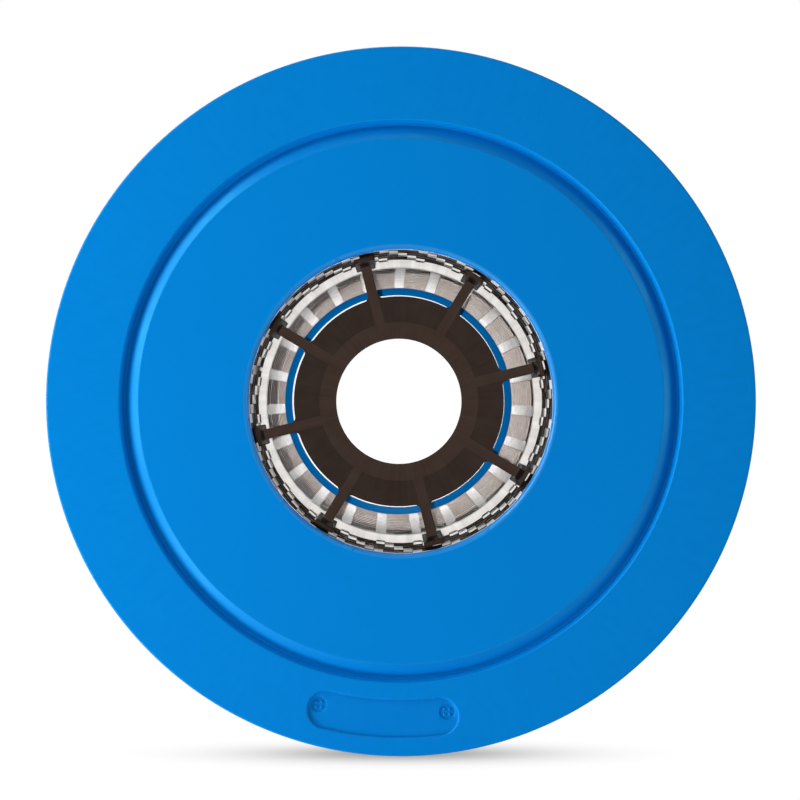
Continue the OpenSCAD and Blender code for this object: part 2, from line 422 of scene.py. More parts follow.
@dataclass(frozen=True)
class PaleGround:
    """White light-table ground, lit from below too, with a painted shadow of what lies on it.

    Lengths are in metres. A painted soft round shadow lies about each cap's line of contact, and a painted shade,
    driven by ambient occlusion, darkens the ground under the pleats between.
    """

    name: str
    layout: Layout
    albedo: float = 0.5
    open_level: float = 1.01
    contact: float = 0.014
    painted_shadow_spread: tuple[float, float] = (0.0255, 0.027)
    painted_shadow_depth: float = 0.66
    reach: float = 0.03
    painted_pleat_shade_level: float = 0.4
    pleat_start: float = 0.25
    pleat_fade: float = 0.1
    pleat_half: tuple[float, float] = (0.026, 0.042)

    def painted_cap_shadow(self, g: Graph, across: Socket, along: Socket, y: float) -> Socket:
        """Gives the painted soft round shadow about a cap's line of contact.

        Args:
            g: The ground's node tree.
            across: Place across the axis.
            along: Place along the axis.
            y: Where the shade has its middle along the axis.

        Returns:
            How much darker the ground is there, from 0 to 1.
        """
        aside = g.math("DIVIDE", across, self.painted_shadow_spread[0])
        away = g.math("DIVIDE", g.math("SUBTRACT", along, y), self.painted_shadow_spread[1])
        square = g.math("ADD", g.math("MULTIPLY", aside, aside), g.math("MULTIPLY", away, away))
        return g.math("MULTIPLY", g.math("EXPONENT", g.math("MULTIPLY", square, -0.5)), self.painted_shadow_depth)

    def level(self, g: Graph) -> Socket:
        """Gives the brightness of the ground, which is white but for the painted shadow.

        Args:
            g: The ground's node tree.

        Returns:
            The emission's strength.
        """
        front, rear, top = self.layout.front_y, self.layout.rear_y, self.open_level
        x, y, _ = g.add("SeparateXYZ", {0: g.place()}).outputs
        # Painted shadows: a round Gaussian darkening about each cap's line of contact, cast by no lamp.
        painted_cap_shadows = [self.painted_cap_shadow(g, x, y, middle) for middle in (front + self.contact, rear - self.contact)]
        caps = g.math("SUBTRACT", top, g.math("ADD", *painted_cap_shadows))
        # Painted shade under the pleats, darker where ambient occlusion finds the ground closed in; kept off the
        # ground near the front and away from the axis.
        around = g.add("AmbientOcclusion", {"Distance": self.reach}, samples=24).outputs["AO"]
        under = g.span(around, (0.1, 0.95), (self.painted_pleat_shade_level, top))
        start = front + self.pleat_start
        before = g.span(y, (start - self.pleat_fade, start), (top, 0.0))
        beside = g.span(g.math("ABSOLUTE", x), self.pleat_half, (0.0, top))
        return g.math("MINIMUM", caps, g.math("MAXIMUM", under, g.math("MAXIMUM", before, beside)))

    def material(self) -> bpy.types.Material:
        """Makes the node material.

        Returns:
            The material: clear to the lamps, matt to other light, and white but for the painted shadow to the eye.
        """
        g = Graph(bpy.data.materials.new(self.name))
        bright = g.add("Emission", {"Color": WHITE, "Strength": self.level(g)})
        matt = g.add("BsdfDiffuse", {"Color": (self.albedo,) * 3 + (1.0,)})
        clear = g.add("BsdfTransparent")
        seen = g.add("MixShader", {0: g.to_the_eye(), 1: matt.outputs[0], 2: bright.outputs[0]})
        shadow_ray = g.add("LightPath").outputs["Is Shadow Ray"]
        return g.finish(g.add("MixShader", {0: shadow_ray, 1: seen.outputs[0], 2: clear.outputs[0]}))


def wire(bm: Mesh, points: list[Vector], closed: bool = False) -> list[Edge]:
    """Draws a line of edges through a few points.

    Args:
        bm: The mesh to draw in.
        points: The corners of the line.
        closed: Whether the last corner joins the first.

    Returns:
        The edges in order.
    """
    verts = [bm.verts.new(p) for p in points]
    pairs = list(zip(verts, verts[1:]))
    if closed:
        pairs.append((verts[-1], verts[0]))
    return [bm.edges.new(pair) for pair in pairs]


def pick(geom: list, kind: type) -> list:
    """Picks the vertices, edges or faces out of what an operator gives back."""
    return [g for g in geom if isinstance(g, kind)]


def swing(bm: Mesh, vert: Vert, centre: Vector, angle: float, steps: int) -> Vert:
    """Draws an arc of edges from a vertex, in the plane of the front face.

    Args:
        bm: The mesh to draw in.
        vert: Where the arc starts.
        centre: The arc's centre.
        angle: Its angle in radians, counter-clockwise as the front face shows it.
        steps: How many edges it has.

    Returns:
        The vertex where the arc ends.
    """
    drawn = bmesh.ops.spin(bm, geom=[vert], cent=centre, axis=(0.0, -1.0, 0.0), angle=angle, steps=steps)
    return pick(drawn["geom_last"], Vert)[0]


def spin(bm: Mesh, geom: list, layout: Layout, angle: float, steps: int, copies: bool = False) -> list:
    """Spins geometry round the cartridge's axis.

    Args:
        bm: The mesh to draw in.
        geom: What is spun.
        layout: Where the axis is.
        angle: How far it turns, in degrees, counter-clockwise as the front face shows it.
        steps: How many steps it takes.
        copies: Whether each step leaves a copy, where it otherwise leaves faces.

    Returns:
        The geometry where it stops.
    """
    turn = {"cent": (0.0, 0.0, layout.axis_z), "axis": (0.0, -1.0, 0.0), "angle": math.radians(angle)}
    return bmesh.ops.spin(bm, geom=geom, steps=steps, use_duplicate=copies, **turn)["geom_last"]


def revolve(bm: Mesh, edges: list[Edge], layout: Layout, steps: int) -> None:
    """Spins edges all the way round the axis, closes the seam and turns the faces outwards.

    Args:
        bm: The mesh to draw in.
        edges: The section.
        layout: Where the axis is.
        steps: How many steps the spin takes.
    """
    verts = list({v: None for e in edges for v in e.verts})
    turn = {"cent": (0.0, 0.0, layout.axis_z), "axis": (0.0, 1.0, 0.0), "angle": math.tau}
    bmesh.ops.spin(bm, geom=verts + edges, steps=steps, use_merge=True, **turn)
    bmesh.ops.remove_doubles(bm, verts=bm.verts, dist=SAME)
    bmesh.ops.recalc_face_normals(bm, faces=bm.faces)


def bridge(bm: Mesh, loops: list[list[Edge]]) -> None:
    """Joins each loop to the next one by a strip of faces."""
    for pair in zip(loops, loops[1:]):
        bmesh.ops.bridge_loops(bm, edges=pair[0] + pair[1])


def creases(edges: list[Edge], angle: float) -> list[Edge]:
    """Picks the edges whose two faces meet at more than an angle in degrees."""
    return [e for e in edges if e.is_manifold and e.calc_face_angle() > math.radians(angle)]


def round_over(bm: Mesh, edges: list[Edge], size: float, segments: int) -> None:
    """Rounds edges over by a size in millimetres."""
    shape = {"segments": segments, "profile": 0.5, "affect": "EDGES", "material": -1}
    bmesh.ops.bevel(bm, geom=edges, offset=size * MM, offset_type="OFFSET", clamp_overlap=True, **shape)


def settle(
    bm: Mesh,
    name: str,
    materials: list[bpy.types.Material],
    nodes: list[str],
    even: bool = True,
) -> bpy.types.Object:
    """Turns a mesh into a piece that rides on the cartridge's body.

    Args:
        bm: The finished mesh, which is freed.
        name: Name of the piece.
        materials: Its materials in the order of its faces' numbers.
        nodes: The CAD nodes that it stands for.
        even: Whether wide flats keep their own normals beside narrow rounds.

    Returns:
        The new object.
    """
    mesh = bpy.data.meshes.new(name)
    bm.to_mesh(mesh)
    bm.free()
    for polygon in mesh.polygons:
        polygon.use_smooth = True
    obj = bpy.data.objects.new(name, mesh)
    bpy.context.scene.collection.objects.link(obj)
    for material in materials:
        mesh.materials.append(material)
    if even:
        flats = obj.modifiers.new("flats", "WEIGHTED_NORMAL")
        flats.keep_sharp = True
    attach(obj, "root")
    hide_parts(*nodes)
    LOG.info("%s: %d faces, stands for %s", name, len(mesh.polygons), ", ".join(nodes))
    return obj


@dataclass
class EndCap:
    """Cast cap with a ring groove, a rounded mouth and the potting round the pleat ends.

    Sizes are in millimetres, and depths are counted from the cap's face inwards.
    """

    layout: Layout
    end: End
    node: str
    outer_r: float = 88.9
    bore_r: float = 38.1
    core_r: float = 43.2
    rim_r: float = 85.9
    lip_depth: float = 6.0
    rim_depth: float = 19.0
    potting_depth: float = 16.5
    groove_in: float = 65.85
    groove_out: float = 70.55
    groove_slope: float = 3.2
    groove_steep: float = 1.0
    groove_depth: float = 2.3
    mouth_round: float = 1.3
    edge_round: float = 0.5
    floor_rounds: tuple[float, float] = (0.2, 0.28)
    shoulder_rounds: tuple[float, float] = (0.25, 0.35)
    rim_round: float = 0.6
    potting_round: float = 1.2
    slack: float = 0.02
    lip_start: float = 0.003
    shoulder_reach: float = 0.35
    shoulder_depths: tuple[float, float] = (0.001, 0.4)
    steps: int = 240

    def y(self, depth: float) -> float:
        """Gives the place along the axis of a depth below the face."""
        face = self.layout.front_y if self.end is End.FRONT else self.layout.rear_y
        return face - self.end.value * depth * MM

    def ring(self, bm: Mesh, radius: float, depth: float) -> list[Edge]:
        """Finds the ring of edges at a radius and a depth.

        Args:
            bm: The cap's mesh.
            radius: The radius.
            depth: The depth.

        Returns:
            The ring's edges.
        """
        y = self.y(depth)
        return [
            e
            for e in bm.edges
            if all(abs(v.co.y - y) < SAME and abs(self.layout.polar(v.co)[0] - radius) < 1e-3 for v in e.verts)
        ]

    def build(self) -> Mesh:
        """Spins the cap's section and rounds its edges.

        Returns:
            The cap's mesh, with each face's finish.
        """
        bm = bmesh.new()
        floor_in, floor_out = self.groove_in + self.groove_slope, self.groove_out - self.groove_steep
        corners = [
            (self.bore_r, self.lip_depth),
            (self.bore_r, 0.0),
            (self.groove_in, 0.0),
            (floor_in, self.groove_depth),
            (floor_out, self.groove_depth),
            (self.groove_out, 0.0),
            (self.outer_r, 0.0),
            (self.outer_r, self.rim_depth),
            (self.rim_r, self.rim_depth),
            (self.rim_r, self.potting_depth),
            (self.core_r, self.potting_depth),
            (self.core_r, self.lip_depth),
        ]
        section = wire(bm, [self.layout.at(r, 0.0, self.y(d)) for r, d in corners], closed=True)
        revolve(bm, section, self.layout, self.steps)
        rounds = [
            (self.bore_r, 0.0, self.mouth_round, 8),
            (floor_in, self.groove_depth, self.floor_rounds[0], 4),
            (floor_out, self.groove_depth, self.floor_rounds[1], 4),
            (self.groove_in, 0.0, self.shoulder_rounds[0], 4),
            (self.groove_out, 0.0, self.shoulder_rounds[1], 4),
            (self.outer_r, 0.0, self.edge_round, 5),
            (self.outer_r, self.rim_depth, self.edge_round, 5),
            (self.rim_r, self.rim_depth, self.rim_round, 3),
            (self.rim_r, self.potting_depth, self.potting_round, 4),
        ]
        for radius, depth, size, segments in rounds:
            round_over(bm, self.ring(bm, radius, depth), size, segments)
        for face in bm.faces:
            face.material_index = self.skin(face).value
        return bm

    def skin(self, face: Face) -> Skin:
        """Says which finish a face has: the rounds of the mouth and of the groove's inner shoulder shine more.

        Args:
            face: A face of the cap.

        Returns:
            The finish.
        """
        middle = face.calc_center_median()
        radius, _ = self.layout.polar(middle)
        depth = abs(middle.y - self.y(0.0)) / MM
        mouth = self.mouth_round - self.slack
        if radius < self.bore_r + mouth and self.lip_start < depth < mouth:
            return Skin.LIP
        start, stop = self.shoulder_depths
        if abs(radius - self.groove_in) < self.shoulder_reach and start < depth < stop:
            return Skin.EDGE
        return Skin.FACE

    def dress(self, finishes: list[CastUrethane]) -> bpy.types.Object:
        """Builds the cap and gives it its finishes."""
        materials = [f.material(self.layout) for f in finishes]
        return settle(self.build(), f"{self.node}_cast", materials, [self.node])


@dataclass
class FrontCap(EndCap):
    """Front cap, with the bare sunk plate at the bottom of its face."""

    plate_mid_r: float = 79.5
    plate_len: float = 38.3
    plate_h: float = 9.7
    plate_depth: float = 0.7
    plate_turn: float = 3.35
    mark_mid_r: float = 78.6
    mark_pitch: float = 32.4
    mark_r: float = 2.1
    mark_depth: float = 0.3
    mark_foot: float = 0.2
    mark_insets: tuple[float, float] = (0.1, 0.25)
    mark_steps: int = 32
    dot_r: float = 0.4
    dot_reach: float = 0.92
    dot_squash: float = 0.75
    flush: float = 0.002
    sunk_slack: float = 0.1
    arc_steps: int = 40
    end_steps: int = 16

    def outline(self, bm: Mesh, grow: float, depth: float) -> list[Edge]:
        """Draws the plate's outline with spins: two arcs round the axis and two round ends.

        Args:
            bm: The mesh to draw in.
            grow: How far outside the plate's own outline it runs, in millimetres.
            depth: Depth below the face in millimetres.

        Returns:
            The closed loop's edges.
        """
        y = self.y(depth)
        middle = -90.0 - self.plate_turn
        half = math.degrees((self.plate_len - self.plate_h) / 2 / self.plate_mid_r)
        reach = self.plate_h / 2 + grow
        axis = Vector((0.0, 0.0, self.layout.axis_z))
        first = bm.verts.new(self.layout.at(self.plate_mid_r + reach, middle - half, y))
        turns = [
            (axis, 2 * half, self.arc_steps),
            (self.layout.at(self.plate_mid_r, middle + half, y), 180.0, self.end_steps),
            (axis, -2 * half, self.arc_steps),
            (self.layout.at(self.plate_mid_r, middle - half, y), 180.0, self.end_steps),
        ]
        before = set(bm.edges)
        last = first
        for centre, angle, steps in turns:
            last = swing(bm, last, centre, math.radians(angle), steps)
        bmesh.ops.weld_verts(bm, targetmap={last: first})
        return [e for e in bm.edges if e not in before]

    def ring_loop(self, bm: Mesh, middle: Vector, radius: float, depth: float) -> list[Edge]:
        """Draws a circle that lies flat in the face.

        Args:
            bm: The mesh to draw in.
            middle: A point on the circle's own axis.
            radius: Its radius in millimetres.
            depth: Its depth below the face in millimetres.

        Returns:
            The circle's edges.
        """
        before = set(bm.edges)
        place = Matrix.Translation((middle.x, self.y(depth), middle.z)) @ Matrix.Rotation(math.pi / 2, 4, "X")
        bmesh.ops.create_circle(bm, cap_ends=False, radius=radius * MM, segments=self.mark_steps, matrix=place)
        return [e for e in bm.edges if e not in before]

    def mark(self, bm: Mesh, angle: float) -> list[Edge]:
        """Adds the impression of a cross-head screw, sunk below the plate's floor.

        Args:
            bm: The cap's mesh.
            angle: Where the mark lies round the axis, in degrees.

        Returns:
            The edges of the mark's rim, which bound a hole in the plate's floor.
        """
        low = self.plate_depth + self.mark_depth
        middle = self.layout.at(self.mark_mid_r, angle, self.y(low))
        wall, floor = (self.mark_r - inset for inset in self.mark_insets)
        steps = [(self.mark_r, self.plate_depth), (wall, low - self.mark_foot), (floor, low)]
        loops = [self.ring_loop(bm, middle, radius, depth) for radius, depth in steps]
        bridge(bm, loops)
        bmesh.ops.edgeloop_fill(bm, edges=loops[-1])
        return loops[0]

    def dots(self, bm: Mesh, angle: float) -> None:
        """Adds the four raised dots that a screw's cross slot leaves in a mark.

        Args:
            bm: The cap's mesh.
            angle: Where the mark lies round the axis, in degrees.
        """
        middle = self.layout.at(self.mark_mid_r, angle, self.y(self.plate_depth + self.mark_depth))
        for turn in (45.0, 135.0, 225.0, 315.0):
            aside = Matrix.Rotation(-math.radians(turn), 4, "Y") @ Vector((self.dot_reach * MM, 0.0, 0.0))
            place = Matrix.Translation(middle + aside) @ Matrix.Diagonal((1.0, self.dot_squash, 1.0, 1.0))
            bmesh.ops.create_uvsphere(bm, u_segments=16, v_segments=8, radius=self.dot_r * MM, matrix=place)

    def build(self) -> Mesh:
        """Sinks the plate and its two marks into the outer ring of the face.

        Returns:
            The cap's mesh, with each face's finish.
        """
        bm = super().build()
        inner, outer = self.groove_out, self.outer_r
        face_y = self.y(0.0)
        flat = [
            f
            for f in bm.faces
            if all(abs(v.co.y - face_y) < SAME for v in f.verts)
            and inner < self.layout.polar(f.calc_center_median())[0] < outer
        ]
        bmesh.ops.delete(bm, geom=flat, context="FACES")
        rims = [e for e in bm.edges if e.is_boundary]
        before = set(bm.faces)
        rim = [(0.3, 0.0), (0.14, 0.03), (0.04, 0.1), (0.0, 0.2)]
        foot = [(-0.1, self.plate_depth - 0.14), (-0.3, self.plate_depth)]
        loops = [self.outline(bm, grow, depth) for grow, depth in rim + foot]
        bridge(bm, loops)
        half = math.degrees(self.mark_pitch / 2 / self.mark_mid_r)
        angles = [-90.0 - self.plate_turn + side * half for side in (-1, 1)]
        holes = [e for angle in angles for e in self.mark(bm, angle)]
        bmesh.ops.triangle_fill(bm, use_beauty=True, edges=rims + loops[0])
        bmesh.ops.triangle_fill(bm, use_beauty=True, edges=loops[-1] + holes)
        for face in [f for f in bm.faces if f not in before]:
            face.normal_update()
            if face.normal.y > 0:
                face.normal_flip()
        for angle in angles:
            self.dots(bm, angle)
        # The sunk plate's floor takes the plate finish, a slightly darker, rougher blue: its darkness is partly
        # painted shade of the recess.
        sunk_y = self.y(self.plate_depth - self.sunk_slack)
        for face in [f for f in bm.faces if f not in before]:
            if face.calc_center_median().y > sunk_y:
                face.material_index = Skin.PLATE.value
            elif face.calc_center_median().y > self.y(self.flush):
                face.material_index = Skin.EDGE.value
        return bm


@dataclass
class PleatedMedia:
    """Fabric folded into pleats round the core, as one sheet.

    Sizes are in millimetres. The sheet's middle surface is drawn, and Solidify gives it its wall.
    """

    layout: Layout
    pleats: int = 140
    root_r: float = 43.3
    crest_r: float = 85.6
    wall: float = 0.5
    crest_round: float = 0.92
    root_round: float = 0.42
    end_depth: float = 8.0
    seam_angle: float = 52.0
    seam_drop: float = 0.62
    rows: int = 16
    sway: float = 0.32
    dip: float = 0.3
    scatter: tuple[float, float] = (12.9898, 43.0)
    slow_lean: tuple[float, float] = (1.0, 2.3)
    fast_lean: tuple[float, float] = (1.7, 7.1)
    fast_share: float = 0.6
    dip_wave: tuple[float, float] = (2.3, 4.0)
    crest_steps: int = 6
    root_steps: int = 4
    seam_reach: float = 6.0
    weld: float = 0.06

    @property
    def pitch(self) -> float:
        """Angle of one pleat in degrees."""
        return 360.0 / self.pleats

    @property
    def crest_mid(self) -> float:
        """Radius at which the crest's round has its middle."""
        return self.crest_r - self.wall / 2 - self.crest_round

    @property
    def root_mid(self) -> float:
        """Radius at which the root's round has its middle."""
        return self.root_r + self.wall / 2 + self.root_round

    @property
    def length(self) -> float:
        """Length of the sheet along the axis in metres."""
        return self.layout.rear_y - self.layout.front_y - 2 * self.end_depth * MM

    @property
    def developed(self) -> float:
        """Length of the sheet across its folds, in metres."""
        rounds = math.pi * (self.crest_round + self.root_round)
        return self.pleats * (rounds + 2 * (self.crest_mid - self.root_mid)) * MM

    def fold(self, bm: Mesh, y: float) -> list[Edge]:
        """Draws one pleat: a wall, the crest's round, the other wall and the root's round.

        Args:
            bm: The mesh to draw in.
            y: Place along the axis of the sheet's edge.

        Returns:
            The edges of the pleat in order.
        """
        up = Matrix.Rotation(-math.radians(self.seam_angle), 4, "Y")
        axis = Vector((0.0, y, self.layout.axis_z))

        def local(radius: float, side: float) -> Vector:
            """Gives a point at a radius, to the side of the pleat's middle."""
            return axis + up @ Vector((radius * MM, 0.0, side * MM))

        root_side = self.root_mid * math.sin(math.radians(self.pitch / 2))
        foot = bm.verts.new(local(self.root_mid, self.root_round - root_side))
        head = bm.verts.new(local(self.crest_mid, -self.crest_round))
        rise = bm.edges.new((foot, head))
        last = swing(bm, head, local(self.crest_mid, 0.0), math.pi, self.crest_steps)
        heel = bm.verts.new(local(self.root_mid, root_side - self.root_round))
        fall = bm.edges.new((last, heel))
        swing(bm, heel, local(self.root_mid, root_side), -math.pi, self.root_steps)
        bmesh.ops.subdivide_edges(bm, edges=[rise, fall], cuts=2)
        return list(bm.edges)

    def build(self) -> Mesh:
        """Repeats the pleat round the axis, draws it out along Y and lets it sway a little.

        Returns:
            The sheet's middle surface.
        """
        bm = bmesh.new()
        y = self.layout.front_y + self.end_depth * MM
        edges = self.fold(bm, y)
        spin(bm, list(bm.verts) + edges, self.layout, 360.0 - self.pitch, self.pleats - 1, copies=True)
        bmesh.ops.remove_doubles(bm, verts=bm.verts, dist=self.weld * MM)
        row = list(bm.edges)
        for _ in range(self.rows):
            grown = bmesh.ops.extrude_edge_only(bm, edges=row)["geom"]
            row = pick(grown, Edge)
            bmesh.ops.translate(bm, verts=pick(grown, Vert), vec=(0.0, self.length / self.rows, 0.0))
        self.relax(bm)
        bmesh.ops.recalc_face_normals(bm, faces=bm.faces)
        return bm

    def relax(self, bm: Mesh) -> None:
        """Moves the folds a little, each in its own way, and lowers the one under the seam clip.

        Args:
            bm: The sheet's mesh.
        """
        lay = self.layout
        middle = (lay.front_y + lay.rear_y) / 2
        for vert in bm.verts:
            radius, angle = lay.polar(vert.co)
            turn = (angle - self.seam_angle) / self.pitch
            index = round(turn) % self.pleats
            out = max(0.0, (radius - self.root_mid) / (self.crest_mid - self.root_mid))
            along = (vert.co.y - middle) / (self.length / 2)
            free = math.sin(math.pi * min(1.0, max(0.0, (along + 1.0) / 2))) ** 0.5
            if index == 0:
                if radius > self.crest_mid - self.seam_reach:
                    radius -= self.seam_drop
            else:
                phase = math.sin(index * self.scatter[0]) * self.scatter[1]
                waves = (self.slow_lean, self.fast_lean, self.dip_wave)
                slow, fast, dips = (math.sin(phase * own + along * rate) for own, rate in waves)
                lean = slow + self.fast_share * fast
                dip = 0.5 + 0.5 * dips
                angle += math.degrees(self.sway * out * free * lean / max(radius, 1.0))
                radius -= self.dip * out * free * dip
            vert.co = lay.at(radius, angle, vert.co.y)

    def dress(self, finish: SpunbondFabric) -> bpy.types.Object:
        """Args:
            finish: The fabric.

        Returns:
            The sheet.
        """
        obj = settle(
            self.build(), "pleated_fabric", [finish.material(self.layout)], ["pleated_media"], even=False
        )
        thick = obj.modifiers.new("wall", "SOLIDIFY")
        thick.thickness = self.wall * MM
        thick.offset = 0.0
        return obj


@dataclass
class Strap:
    """Woven band drawn tight round the pleat tips, with its welded lap.

    Sizes are in millimetres.
    """

    layout: Layout
    node: str
    inner_r: float = 85.8
    wall: float = 0.75
    lap_wall: float = 0.9
    lap_angle: float = 12.0
    sag: float = 0.14
    pleats: int = 140
    lap_start: float = 60.0
    lap_ramp: float = 0.6
    edge: float = 0.25

    def build(self) -> Mesh:
        """Spins the band's section and lets it sag a little between the pleat tips.

        Returns:
            The band's mesh.
        """
        low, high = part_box(self.node)
        bm = bmesh.new()
        lay = self.layout
        inner, outer = self.inner_r, self.inner_r + self.wall
        corners = [(inner, low[1]), (outer, low[1]), (outer, high[1]), (inner, high[1])]
        section = wire(bm, [lay.at(r, 0.0, y) for r, y in corners], closed=True)
        bmesh.ops.subdivide_edges(bm, edges=[section[1], section[3]], cuts=3)
        revolve(bm, list(bm.edges), lay, self.pleats * 2)
        round_over(bm, creases(bm.edges, SHARP), self.edge, 2)
        for vert in bm.verts:
            radius, angle = lay.polar(vert.co)
            dip = 0.5 - 0.5 * math.cos(math.radians((angle - self.lap_start) * self.pleats))
            radius -= self.sag * dip * (radius > self.inner_r + self.wall / 2)
            past = (angle - self.lap_start) % 360.0
            if past < self.lap_angle and radius > self.inner_r + self.wall / 2:
                radius += (self.lap_wall - self.wall) * min(1.0, past / self.lap_ramp)
            vert.co = lay.at(radius, angle, vert.co.y)
        return bm

    def dress(self, finish: WovenStrap) -> bpy.types.Object:
        """Args:
            finish: The weave.

        Returns:
            The band.
        """
        obj = settle(self.build(), f"{self.node}_strap", [finish.material(self.layout)], [self.node])
        return obj


@dataclass
class Spider:
    """Dark spoked plate inside the front end, with a leg at the end of each spoke.

    Sizes are in millimetres, and depths are counted from the front face inwards.
    """

    layout: Layout
    face_depth: float = 97.0
    back_depth: float = 103.0
    web_drop: float = 1.2
    hole_r: float = 16.65
    ring_r: float = 21.1
    web_r: float = 27.9
    spokes: int = 8
    spoke_w: float = 2.7
    spoke_phase: float = 13.9
    corner_r: float = 1.3
    leg_in: float = 36.8
    leg_out: float = 38.0
    leg_w: float = 5.4
    leg_top: float = 38.0
    leg_foot: float = 144.8
    edge: float = 0.22
    leg_edge: float = 0.25
    crease: float = 35.0
    hub_margin: float = 0.3
    ring_steps: int = 10
    hole_steps: int = 12
    corner_steps: int = 6
    leg_steps: int = 6
    play: float = -0.42

    @property
    def pitch(self) -> float:
        """Angle from one spoke to the next, in degrees."""
        return 360.0 / self.spokes

    def y(self, depth: float) -> float:
        """Gives the place along the axis of a depth below the front face."""
        return self.layout.front_y + depth * MM

    def beside(self, spoke: int, along: float, side: float, depth: float) -> Vector:
        """Gives a point beside a spoke's middle line.

        Args:
            spoke: Number of the spoke, counter-clockwise.
            along: Distance from the axis along the spoke.
            side: Distance to the spoke's counter-clockwise side.
            depth: Depth below the front face.

        Returns:
            The point in metres.
        """
        turn = self.spoke_phase + spoke * self.pitch + math.degrees(math.atan2(side, along))
        return self.layout.at(math.hypot(along, side), turn, self.y(depth))

    def sector(self, bm: Mesh, depth: float) -> tuple[Face, Face]:
        """Draws the two faces between one spoke's middle line and the next one's.

        Args:
            bm: The mesh to draw in.
            depth: Depth below the front face.

        Returns:
            The face of the hub ring and the two half spokes, and the face of the web.
        """
        half = self.spoke_w / 2
        axis = Vector((0.0, 0.0, self.layout.axis_z))
        ring_x = math.sqrt(self.ring_r**2 - half**2)
        corner_y = half + self.corner_r
        corner_x = math.sqrt((self.web_r + self.corner_r) ** 2 - corner_y**2)
        lean = math.atan2(corner_y, corner_x)
        end_x = (self.leg_in + self.leg_out) / 2

        def vert(spoke: int, along: float, side: float) -> Vert:
            """Adds a vertex beside a spoke."""
            return bm.verts.new(self.beside(spoke, along, side, depth))

        def chain(verts: list[Vert]) -> None:
            """Joins vertices by edges."""
            for pair in zip(verts, verts[1:]):
                bm.edges.new(pair)

        before = set(bm.edges)
        start, tip, tip_side = vert(0, self.hole_r, 0.0), vert(0, end_x, 0.0), vert(0, end_x, half)
        bend, root = vert(0, corner_x, half), vert(0, ring_x, half)
        chain([start, tip, tip_side, bend, root])
        ring_turn = math.radians(self.pitch) - 2 * math.atan2(half, ring_x)
        far_root = swing(bm, root, axis, ring_turn, self.ring_steps)
        far_bend, far_side = vert(1, corner_x, -half), vert(1, end_x, -half)
        far_tip, far_start = vert(1, end_x, 0.0), vert(1, self.hole_r, 0.0)
        chain([far_root, far_bend, far_side, far_tip, far_start])
        last = swing(bm, far_start, axis, -math.radians(self.pitch), self.hole_steps)
        bmesh.ops.weld_verts(bm, targetmap={last: start})
        outline = [e for e in bm.edges if e not in before]
        raised = bmesh.ops.edgeloop_fill(bm, edges=outline)["faces"][0]

        before = set(bm.edges)
        corner = self.beside(0, corner_x, corner_y, depth)
        web = swing(bm, bend, corner, -(math.pi / 2 - lean), self.corner_steps)
        far_web = swing(bm, web, axis, math.radians(self.pitch) - 2 * lean, self.ring_steps)
        far_corner = self.beside(1, corner_x, -corner_y, depth)
        last = swing(bm, far_web, far_corner, -(math.pi / 2 - lean), self.corner_steps)
        bmesh.ops.weld_verts(bm, targetmap={last: far_bend})
        inside = [e for e in outline if e.is_valid and self.between(e, root, far_root, bend, far_bend)]
        web_edges = [e for e in bm.edges if e not in before] + inside
        sunk = bmesh.ops.edgeloop_fill(bm, edges=web_edges)["faces"][0]
        return raised, sunk

    def between(self, edge: Edge, *ends: Vert) -> bool:
        """Says whether an edge lies on the hub ring's outside or on a spoke's inner side.

        Args:
            edge: The edge.
            *ends: The near and the far end on the ring, and the near and the far bend of the web.

        Returns:
            Whether it bounds the web.
        """
        radii = [self.layout.polar(v.co)[0] for v in edge.verts]
        on_ring = all(abs(r - self.ring_r) < 1e-3 for r in radii)
        on_side = {ends[0], ends[2]} == set(edge.verts) or {ends[1], ends[3]} == set(edge.verts)
        return on_ring or on_side

    def leg(self, bm: Mesh, spoke: int) -> None:
        """Adds one leg, bent to the sleeve's curve.

        Args:
            bm: The spider's mesh.
            spoke: Number of its spoke.
        """
        half = math.degrees(self.leg_w / 2 / self.leg_out)
        middle = self.spoke_phase + spoke * self.pitch
        before = set(bm.faces)
        corners = [(self.leg_in, self.leg_top), (self.leg_out, self.leg_top)]
        corners += [(self.leg_out, self.leg_foot), (self.leg_in, self.leg_foot)]
        edges = wire(bm, [self.layout.at(r, middle - half, self.y(d)) for r, d in corners], closed=True)
        face = bmesh.ops.edgeloop_fill(bm, edges=edges)["faces"][0]
        spin(bm, [face], self.layout, 2 * half, self.leg_steps)
        fresh = [f for f in bm.faces if f not in before]
        bmesh.ops.recalc_face_normals(bm, faces=fresh)
        round_over(bm, creases(list({e: None for f in fresh for e in f.edges}), self.crease), self.leg_edge, 2)

    def build(self) -> Mesh:
        """Repeats the sector round the axis, gives it its two heights and adds the legs.

        Returns:
            The spider's mesh, with 1 as the number of the hub ring's faces.
        """
        bm = bmesh.new()
        depth = self.face_depth + self.web_drop
        raised, sunk = self.sector(bm, depth)
        raised.material_index, sunk.material_index = 1, 0
        whole = list(bm.verts) + list(bm.edges) + list(bm.faces)
        spin(bm, whole, self.layout, 360.0 - self.pitch, self.spokes - 1, copies=True)
        bmesh.ops.remove_doubles(bm, verts=bm.verts, dist=SAME)
        front = list(bm.faces)
        high = [f for f in front if f.material_index == 1]
        back = bmesh.ops.extrude_face_region(bm, geom=front, use_keep_orig=True)["geom"]
        bmesh.ops.translate(bm, verts=pick(back, Vert), vec=(0.0, (self.back_depth - depth) * MM, 0.0))
        top = bmesh.ops.extrude_face_region(bm, geom=high)["geom"]
        bmesh.ops.translate(bm, verts=pick(top, Vert), vec=(0.0, -self.web_drop * MM, 0.0))
        bmesh.ops.delete(bm, geom=[f for f in high if f.is_valid], context="FACES_ONLY")
        bmesh.ops.recalc_face_normals(bm, faces=bm.faces)
        round_over(bm, creases(bm.edges, self.crease), self.edge, 2)
